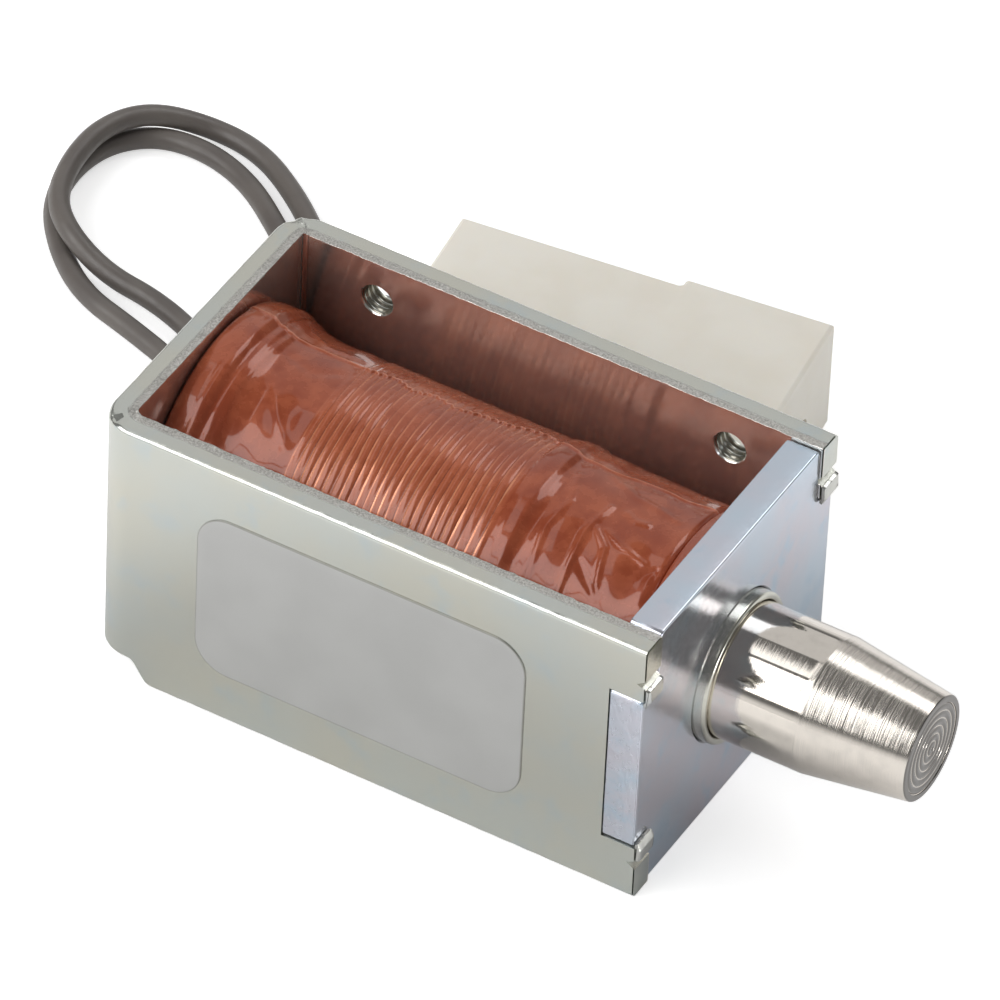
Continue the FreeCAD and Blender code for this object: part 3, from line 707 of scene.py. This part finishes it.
film_s = np.concatenate([uneven_steps([0, 8.6, 24.9], [64, 202]), np.linspace(24.9, film_length, 84)])
film_angle = np.radians(uneven_steps([-180, -62, 10, 32, 60, 180], [40, 90, 66, 28, 40]))
s_grid, angle_grid = np.meshgrid(film_s, film_angle, indexing="ij")
radius_grid, *marks = film_radius(s_grid, angle_grid)
inner_wall = np.full((2, len(film_angle)), film_inner_radius)
radius_grid = np.concatenate([np.minimum(radius_grid, 10.9), inner_wall])
s_grid = np.concatenate([s_grid, np.repeat([[film_length], [0.0]], len(film_angle), 1)])
film_points = round_axis(film_start + s_grid, radius_grid, film_angle)
film = dress(piece("wound_film", [shell(film_points, wrap=True)], 70), "coil_film", "coil_film")
film_marks = ("wire_turn", "copper_and_painted_glint", "past_edge")
for name, grid in zip(film_marks, marks):
    values = np.concatenate([grid, 0 * inner_wall]).ravel()
    film.data.attributes.new(name, "FLOAT", "POINT").data.foreach_set("value", values)

# %% [markdown]
# ## The label
# A thin foil label with rounded corners lies on the near wall, left bare.
# It's a flat outline raised by a tenth of a millimetre, with its edge turned down.

# %% Label
label_centre_x = -0.8
label_half = (12.9, 7.1)
label_round = 2.6
label_corners = [(right * label_half[0], up * label_half[1])
                 for right, up in ((-1, -1), (1, -1), (1, 1), (-1, 1))]
label_line, label_normal = rounded_line(label_corners, label_round, steps=10, spacing=1.5)
label_rings = [at_y(label_line - label_normal * inward + [label_centre_x, 0], near_y - raised)
               for raised, inward in ((0, 0), (0.07, 0), (0.09, 0.01), (0.1, 0.04), (0.1, 0.4))]
label = dress(piece("foil_label", [shell(label_rings)]), "label_foil", "label")

# %% [markdown]
# ## Softened copies
# The connector's housing and the film packet have the right shape already, but their edges are
# too sharp for moulded plastic and folded film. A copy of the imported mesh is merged, its flat
# faces are joined, and a Bevel modifier then rounds its edges.


# %% Softened copies
def softened(name, packed, width):
    """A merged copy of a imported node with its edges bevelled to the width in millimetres."""
    mesh = nodes[packed].data.copy()
    mesh.name = name
    mesh.materials.clear()
    merged(mesh, 50, near=1e-6, flatten=True)
    made = placed(name, mesh)
    bevel = made.modifiers.new("edge", "BEVEL")
    bevel.width = width * MM
    bevel.segments = 3
    bevel.limit_method = "ANGLE"
    bevel.angle_limit = radians(35)
    print(name, "faces before its bevel:", len(mesh.polygons))
    return made


housing = dress(softened("moulded_housing", "connector_housing", 0.22), "white_nylon", "connector_housing")
packet = dress(softened("folded_packet", "joint_packet", 0.12), "coil_film", "joint_packet")

# %% [markdown]
# ## The leads as cords
# Each lead has a point where it leaves the coil, a length, and pieces on its end; the housing is on the
# end of both. The two lengths are printed here, where the housing is made.

# %% Cords
for letter, route, length in (("a", route_a, 0.0867), ("b", route_b, 0.0879)):
    print("cord", letter, "is", length, "m long")

# %% [markdown]
# ## Small helpers for materials
# Every finish is built from a few nodes: a position in millimetres, noises of a stated size, a ramp
# between two values and a bump. What a node gives is wrapped as a value that plain arithmetic works
# on, so a finish reads like the formula that it is.


# %% Material helpers
class Value:
    """What a shader node gives. Sums and products of such values become Math nodes."""

    def __init__(self, socket):
        self.socket = socket

    def __add__(self, other):
        return calc("ADD", self, other)

    def __sub__(self, other):
        return calc("SUBTRACT", self, other)

    def __rsub__(self, other):
        return calc("SUBTRACT", other, self)

    def __mul__(self, other):
        return calc("MULTIPLY", self, other)

    def __abs__(self):
        return calc("ABSOLUTE", self)


def feed(made, inputs):
    """Sets a node's inputs, by name or number, to plain values or to what other nodes give."""
    for key, value in inputs.items():
        if isinstance(value, Value):
            made.id_data.links.new(value.socket, made.inputs[key])
        else:
            made.inputs[key].default_value = value


def node(kind, inputs, output=0, tree=None, **settings):
    """What a new shader node of that kind gives; its tree is that of its inputs, or the given one."""
    if tree is None:
        tree = next(value.socket.id_data for value in inputs.values() if isinstance(value, Value))
    made = tree.nodes.new("ShaderNode" + kind)
    for key, value in settings.items():
        setattr(made, key, value)
    feed(made, inputs)
    return Value(made.outputs[output])


def calc(operation, *values):
    """The result of a Math node."""
    return node("Math", dict(enumerate(values)), operation=operation)


def component(vector, axis):
    """The vector's x, y or z, for axis 0, 1 or 2."""
    return node("SeparateXYZ", {0: vector}, axis)


def length_of(first, second):
    """The square root of the sum of two squares."""
    return calc("SQRT", first * first + second * second)


def faces_along(tree, axis):
    """How squarely the surface faces along an axis of the object, from 0 to 1."""
    return abs(component(node("TexCoord", {}, "Normal", tree), axis))


def millimetres(tree, scale=(1, 1, 1)):
    """The object position in millimetres, stretched by the scale."""
    place = node("TexCoord", {}, "Object", tree)
    return node("Mapping", {"Vector": place, "Scale": [value / MM for value in scale]})


def noise(vector, scale, detail=2.0, roughness=0.5):
    """A noise from 0 to 1; the scale is in features a millimetre."""
    return node("TexNoise", {"Vector": vector, "Scale": scale, "Detail": detail,
                             "Roughness": roughness}, "Fac")


def ramp(value, low, high, start=0.0, end=1.0):
    """Runs smoothly from start to end as the value goes from low to high."""
    return node("MapRange", {"Value": value, "From Min": low, "From Max": high, "To Min": start,
                             "To Max": end}, interpolation_type="SMOOTHSTEP")


def blend(factor, first, second):
    """A mix of two colours."""
    return node("Mix", {0: factor, 6: first, 7: second}, 2, data_type="RGBA")


def bump(height, distance, normal=None):
    """A bump of that height in millimetres, on top of another one when it's given."""
    inputs = {"Height": height, "Distance": distance * MM, "Strength": 1.0}
    if normal is not None:
        inputs["Normal"] = normal
    return node("Bump", inputs)


def colour(red, green, blue):
    """A colour given as display values from 0 to 255, for the shader."""
    value = np.array([red, green, blue]) / 255
    linear = np.where(value <= 0.04045, value / 12.92, ((value + 0.055) / 1.055) ** 2.4)
    return (*linear.tolist(), 1.0)


def fresh_material(name):
    """A new node material, its tree and its main shader."""
    material = bpy.data.materials.new(name)
    material.use_nodes = True
    tree = material.node_tree
    return material, tree, tree.nodes["Principled BSDF"]


def paint(material, *pieces):
    """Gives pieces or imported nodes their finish."""
    for made in pieces:
        made.data.materials.clear()
        made.data.materials.append(material)
        print(made.name, "is painted with", material.name)


# %% [markdown]
# ## Zinc plate
# Bright zinc isn't chrome: it's a satin grey with faint clouds of yellow and blue from its
# passivation, and a fine mottle. Where the press sheared the sheet, the inner third of the edge
# is torn and dull. The shader knows how deep a point lies in the sheet from its distance to the
# bracket's outer face, which stays right round the bends, so it also finds the inside of the walls,
# where it paints a lighter, smoother tone as painted light for the dim inside of the bracket.


# %% Zinc finishes
def sheet_depth(place):
    """Depth below the bracket's outer face: r - length(max(r - distance to each face, 0))."""
    y = component(place, 1)
    to_side = calc("MINIMUM", y - near_y, far_y - y)
    from_rear = calc("MAXIMUM", bend_outer - (component(place, 0) - rear_x), 0.0)
    from_side = calc("MAXIMUM", bend_outer - to_side, 0.0)
    return bend_outer - length_of(from_rear, from_side)


def zinc_finish(name, plain, warm, cool, torn_edge_and_painted_inside=False, cut_sides=False):
    """Satin zinc in three close tones; when asked, a torn edge and a painted lighter inside, or rough sides.
    """
    material, tree, shader = fresh_material(name)
    place = millimetres(tree)
    base = blend(ramp(noise(place, 0.11, 3.0), 0.35, 0.65), colour(*plain), colour(*warm))
    base = blend(ramp(noise(place, 0.3, 4.0, 0.6), 0.52, 0.75), base, colour(*cool))
    specks = ramp(noise(place, 6.0, 3.0, 0.7), 0.66, 0.76)
    base = blend(specks * 0.3, base, colour(120, 118, 112))
    mottle = noise(place, 2.2, 4.0, 0.65)
    grain = noise(millimetres(tree, (0.25, 0.25, 3.0)), 6.0)
    rough = ramp(mottle, 0.3, 0.7, 0.16, 0.25)
    normal = bump(grain, 0.0015, bump(mottle, 0.006))
    if torn_edge_and_painted_inside:
        depth = sheet_depth(place)
        on_edge = ramp(faces_along(tree, 2), 0.75, 0.9) * ramp(abs(component(place, 2)), 9.2, 9.4)
        torn = on_edge * ramp(depth + noise(place, 1.6) * 0.25, 1.35, 1.55)
        crumbs = noise(place, 7.0, 4.0, 0.75)
        dull = blend(ramp(crumbs, 0.4, 0.56), colour(160, 157, 151), colour(202, 200, 195))
        dull = blend(ramp(crumbs, 0.63, 0.69), dull, colour(255, 254, 250))
        # painted light: the inside faces of the walls get a lighter, smoother tone that stands in for light
        # the inside lacks
        painted_light_inside = ramp(depth, 1.88, 1.96) * (1.0 - on_edge)
        base = blend(painted_light_inside, blend(torn, base, dull), colour(236, 231, 224))
        rough = rough + torn * 0.14 - painted_light_inside * 0.07
        normal = bump(crumbs * torn, 0.045, normal)
    if cut_sides:
        on_side = ramp(faces_along(tree, 1), 0.8, 0.95)
        dents = noise(millimetres(tree, (1.0, 1.0, 0.4)), 2.6, 3.0, 0.6)
        rough = rough + on_side * 0.1
        normal = bump(dents * on_side, 0.09, normal)
    feed(shader, {"Base Color": base, "Metallic": 0.9, "Roughness": rough, "Normal": normal})
    return material


paint(zinc_finish("bracket_zinc", (206, 209, 203), (210, 209, 198), (199, 207, 207), torn_edge_and_painted_inside=True),
      bracket)
paint(zinc_finish("pushed_zinc", (205, 206, 202), (212, 211, 204), (196, 200, 202)), staked_lips)
paint(zinc_finish("tapped_zinc", (150, 147, 136), (160, 156, 144), (140, 139, 130)), screw_threads)
paint(zinc_finish("plate_zinc", (206, 219, 232), (216, 213, 222), (195, 213, 229), cut_sides=True),
      end_plate)

# %% [markdown]
# ## Nickel and other metals
# The bolt is turned and nickel plated: almost a mirror along its shank, with fine tool marks
# round its taper. The marks follow the length, so a noise stretched right round the axis makes them.


# %% Metal finishes
def turned_finish(name, tone, rough, marks, from_x=-100.0, to_x=-99.0, painted_shade_x=None):
    """A turned metal: tool marks are a noise of x alone, deeper past from_x; the nose face at the far end
    gets a darker tone as painted shade.
    """
    material, tree, shader = fresh_material(name)
    place = millimetres(tree)
    x = component(place, 0)
    lines = noise(millimetres(tree, (1.0, 0.004, 0.004)), 7.0, 3.0, 0.8)
    broad = noise(millimetres(tree, (1.0, 0.01, 0.01)), 2.0)
    height = (lines + broad * 0.5) * ramp(x, from_x, to_x, 0.05, 1.0)
    stain = ramp(noise(place, 0.8, 3.0), 0.4, 0.8)
    base = blend(stain * 0.1, colour(*tone), colour(0, 0, 0))
    shine = ramp(noise(place, 3.0, 3.0), 0.3, 0.7, rough * 0.8, rough * 1.3)
    if painted_shade_x is not None:
        # painted shade: past this x the nose face takes a dark tone that stands for the shade it mirrors
        base = blend(ramp(x, painted_shade_x, painted_shade_x + 0.05), base, colour(120, 117, 114))
        shine = shine + ramp(x, from_x, to_x) * 0.1
    feed(shader, {"Base Color": base, "Metallic": 1.0, "Roughness": shine,
                  "Normal": bump(height, marks)})
    return material


def both(name):
    """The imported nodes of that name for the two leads."""
    return [nodes[name + "_" + letter] for letter in "ab"]


# the bolt's nose face, from 36.3 mm on, carries painted shade
paint(turned_finish("bolt_nickel", (226, 219, 210), 0.06, 0.03, 27.9, 28.9, 36.3), bolt)
paint(turned_finish("tube_silver", (205, 204, 194), 0.2, 0.002), guide_tube)
paint(turned_finish("core_steel", (196, 198, 198), 0.28, 0.004), nodes["fixed_core"])
paint(turned_finish("spring_steel", (205, 203, 198), 0.25, 0.001), spring)
paint(turned_finish("bright_solder", (214, 214, 212), 0.22, 0.004), *both("solder_joint"))
paint(turned_finish("tinned_brass", (216, 214, 204), 0.24, 0.003), *both("contact"))
paint(turned_finish("copper", (214, 132, 98), 0.22, 0.004), nodes["winding"], *both("conductor"))

# %% [markdown]
# ## Film, plastic, foil and vinyl
# The film is brown and clear over bright copper, so it's a brown base with a coat of gloss.
# The surface's own numbers, kept as attributes, tell the shader where each turn of wire starts, so the
# painted highlight lines on the turns stay thin at any size; painted shade fills the grooves. The plastics
# differ in how rough they are and what grain the mould gave them. The label has a thin dark line where its
# edge turns down.


# %% Film finish
def film_finish():
    """Brown film over copper; painted highlight lines follow the turns, painted shade fills the grooves, and
    a painted highlight the free edge.
    """
    material, tree, shader = fresh_material("brown_film")
    place = millimetres(tree)
    turn, shine, past = [node("Attribute", {}, "Fac", tree, attribute_name=name)
                         for name in film_marks]
    share = calc("FRACT", turn)
    whole_turn = node("CombineXYZ", {0: calc("FLOOR", turn), 1: 0.5})
    uneven = ramp(noise(whole_turn, 1.7), 0.35, 0.6, 0.4, 1.0)
    streaks = ramp(noise(millimetres(tree, (4.0, 0.3, 0.3)), 1.0), 0.35, 0.6)
    # painted highlight: a thin bright line on one side of each turn, strongest on the near side
    line = ramp(abs(share - 0.14), 0.19, 0.04) * (shine * streaks * uneven)
    # painted shade in the grooves between the turns
    painted_groove_shade = ramp(calc("PINGPONG", share, 0.5), 0.1, 0.0) * shine
    # painted highlight along the film's free edge
    painted_edge_highlight = ramp(abs(past - 0.07), 0.14, 0.02)
    clouds = ramp(noise(place, 0.45, 3.0, 0.6), 0.35, 0.7)
    base = blend(clouds, colour(150, 68, 40), colour(172, 88, 56))
    # copper showing through, lighter on the near side as painted light; then painted groove shade and
    # painted highlights
    for factor, tone in ((shine * 0.4, (204, 116, 80)), (painted_groove_shade * 0.75, (92, 36, 22)),
                         (line, (250, 168, 126)), (painted_edge_highlight * 0.55, (222, 150, 122))):
        base = blend(factor, base, colour(*tone))
    feed(shader, {"Base Color": base, "Metallic": line * 0.4 + 0.12, "Specular IOR Level": 0.2,
                  "Roughness": ramp(noise(place, 0.9, 3.0), 0.3, 0.7, 0.2, 0.32),
                  "Normal": bump(noise(place, 1.2, 3.0), 0.008),
                  "Coat Weight": 0.85, "Coat Roughness": 0.05, "Coat IOR": 1.45})
    return material


paint(film_finish(), film, packet)


# %% Plastic, foil and vinyl finishes
def plastic_finish(name, tone, shade, rough, grain_scale, grain_height, coat=0.0, light=0.0):
    """A moulded or drawn plastic: two close tones, a grain bump, and a little light let through."""
    material, tree, shader = fresh_material(name)
    place = millimetres(tree)
    base = blend(ramp(noise(place, 0.2, 3.0), 0.35, 0.7), colour(*tone), colour(*shade))
    gloss = ramp(noise(place, 1.5), 0.3, 0.7, rough * 0.85, rough * 1.15)
    feed(shader, {"Base Color": base, "Roughness": gloss, "Coat Weight": coat,
                  "Normal": bump(noise(place, grain_scale, 3.0), grain_height),
                  "Subsurface Weight": light, "Subsurface Radius": (1.0, 0.8, 0.6),
                  "Subsurface Scale": 0.0008})
    return material


def foil_finish():
    """Matt silver foil, darker in a thin line at its edge, from the distance to a rounded rectangle."""
    material, tree, shader = fresh_material("matt_foil")
    place = millimetres(tree)
    gaps = []
    for axis, centre, half in ((0, label_centre_x, label_half[0]), (2, 0.0, label_half[1])):
        reach = abs(component(place, axis) - centre)
        gaps.append(calc("MAXIMUM", reach - (half - label_round), 0.0))
    rim = ramp(label_round - length_of(*gaps), 0.12, 0.04)
    clouds = ramp(noise(place, 0.15), 0.3, 0.7)
    base = blend(clouds, colour(197, 197, 195), colour(191, 191, 189))
    base = blend(rim, base, colour(164, 163, 158))
    feed(shader, {"Base Color": base, "Metallic": 0.35, "Roughness": 0.42,
                  "Normal": bump(noise(place, 9.0), 0.0015)})
    return material


paint(plastic_finish("white_nylon", (247, 242, 231), (243, 237, 224), 0.42, 5.0, 0.006, light=0.15), housing)
paint(plastic_finish("amber_nylon", (160, 80, 54), (148, 72, 48), 0.3, 5.0, 0.004, coat=0.5), bobbin)
paint(plastic_finish("vinyl", (109, 103, 98), (98, 92, 88), 0.4, 2.5, 0.012), *leads.values())
paint(foil_finish(), label)

# %% [markdown]
# ## Floor, studio and lamps
# The solenoid lies on a pale sweep. The world is pure white only to the camera, so its white adds no light
# to the metal. The floor is white to the camera too, and gives glossy rays a painted glow that grows between
# about 26 and 46 mm from the object, so the metal mirrors painted light there; the floor keeps a soft
# shadow.
# Polished metal shows what stands round it, so the room matters: it's pale near the floor, and dark grey
# above.
# The key light, in front on the left, is three strips with narrow gaps that draw dark lines along the bolt.
# A dim panel at the back is what the upward faces mirror. A thin strip and a bright box overhead light the
# coil, and a low box on the right lights the sides that face along the bolt.

# %% Floor
floor_size = 1500.0
floor_z = -half_height - 0.02
floor_corners = [(right * floor_size * MM, back * floor_size * MM, floor_z * MM)
                 for right, back in ((-1, -1), (1, -1), (1, 1), (-1, 1))]
floor_mesh = bpy.data.meshes.new("floor")
floor_mesh.from_pydata(floor_corners, [], [[0, 1, 2, 3]])
floor = placed("floor", floor_mesh)


def ray(tree, kind):
    """1 for rays of that kind, 0 for others."""
    return node("LightPath", {}, "Is " + kind + " Ray", tree)


def floor_finish(extra_to_camera, painted_glow_to_gloss):
    """A white matt floor, with more white for camera rays, and a painted glow for glossy rays away from the
    object.
    """
    material, tree, shader = fresh_material("floor_white")
    feed(shader, {"Base Color": (0.86, 0.86, 0.86, 1.0), "Roughness": 0.8, "Specular IOR Level": 0.1})
    away = node("VectorMath", {0: millimetres(tree), 1: (0.0, axis_y, floor_z)}, "Value",
                operation="DISTANCE")
    # painted light: glossy rays see the floor glow more with distance from the object, so reflections near
    # it stay dark as painted shade
    gloss = calc("MAXIMUM", ray(tree, "Glossy"), ray(tree, "Transmission")) * ramp(away, 26.0, 46.0)
    extra = ray(tree, "Camera") * extra_to_camera + gloss * painted_glow_to_gloss
    glow = node("Emission", {"Color": (1, 1, 1, 1), "Strength": extra})
    total = node("AddShader", {0: Value(shader.outputs[0]), 1: glow})
    feed(tree.nodes["Material Output"], {"Surface": total})
    return material


paint(floor_finish(0.6, 0.35), floor)


# %% World
def make_world():
    """White to the camera; to every other ray, pale at the floor's edge and dark grey above it."""
    world = bpy.data.worlds.new("studio")
    world.use_nodes = True
    tree = world.node_tree
    up = component(node("TexCoord", {}, "Generated", tree), 2)
    room = blend(ramp(up, 0.04, 0.2), (0.85, 0.85, 0.85, 1), (0.16, 0.16, 0.16, 1))
    sky = blend(ray(tree, "Camera"), room, (1, 1, 1, 1))
    feed(tree.nodes["Background"], {"Color": sky, "Strength": 1.0})
    bpy.context.scene.world = world


make_world()

# %% Lamps
middle = Vector((0.0, axis_y * MM, 0.0))


def soft_box(name, place, size, strength):
    """A rectangular lamp that faces the middle: power = pi * area * strength, so size keeps its glare."""
    data = bpy.data.lights.new(name, "AREA")
    data.shape = "RECTANGLE"
    data.size, data.size_y = size
    data.energy = pi * size[0] * size[1] * strength
    lamp = placed(name, data)
    lamp.location = place
    lamp.rotation_euler = (middle - Vector(place)).to_track_quat("-Z", "Y").to_euler()


key_centre = np.array([-0.51, -0.68, 0.69])
key_step = 0.3 * unit(np.array([0.33, 0.44, 0.68]))
for index, letter in enumerate("abc"):
    soft_box("key_strip_" + letter, (key_centre + key_step * (index - 1)).tolist(), (1.0, 0.28), 3.1)
soft_box("back_panel", (-0.35, 0.64, 0.67), (0.9, 1.0), 0.5)
soft_box("top_strip", (-0.35, -0.06, 0.93), (0.5, 0.1), 1.4)
soft_box("overhead_box", (0.18, 0.52, 0.84), (0.55, 0.45), 2.6)
soft_box("side_box", (1.0, -0.1, 0.045), (0.5, 0.08), 12.0)
bpy.context.scene.view_settings.view_transform = "Standard"
print("lamps:", len(bpy.data.lights))

# %% [markdown]
# ## Last step
# The view layer is brought up to date. The dressed part has to stay in the box of the imported
# model.

# %% Finish
bpy.context.view_layer.update()
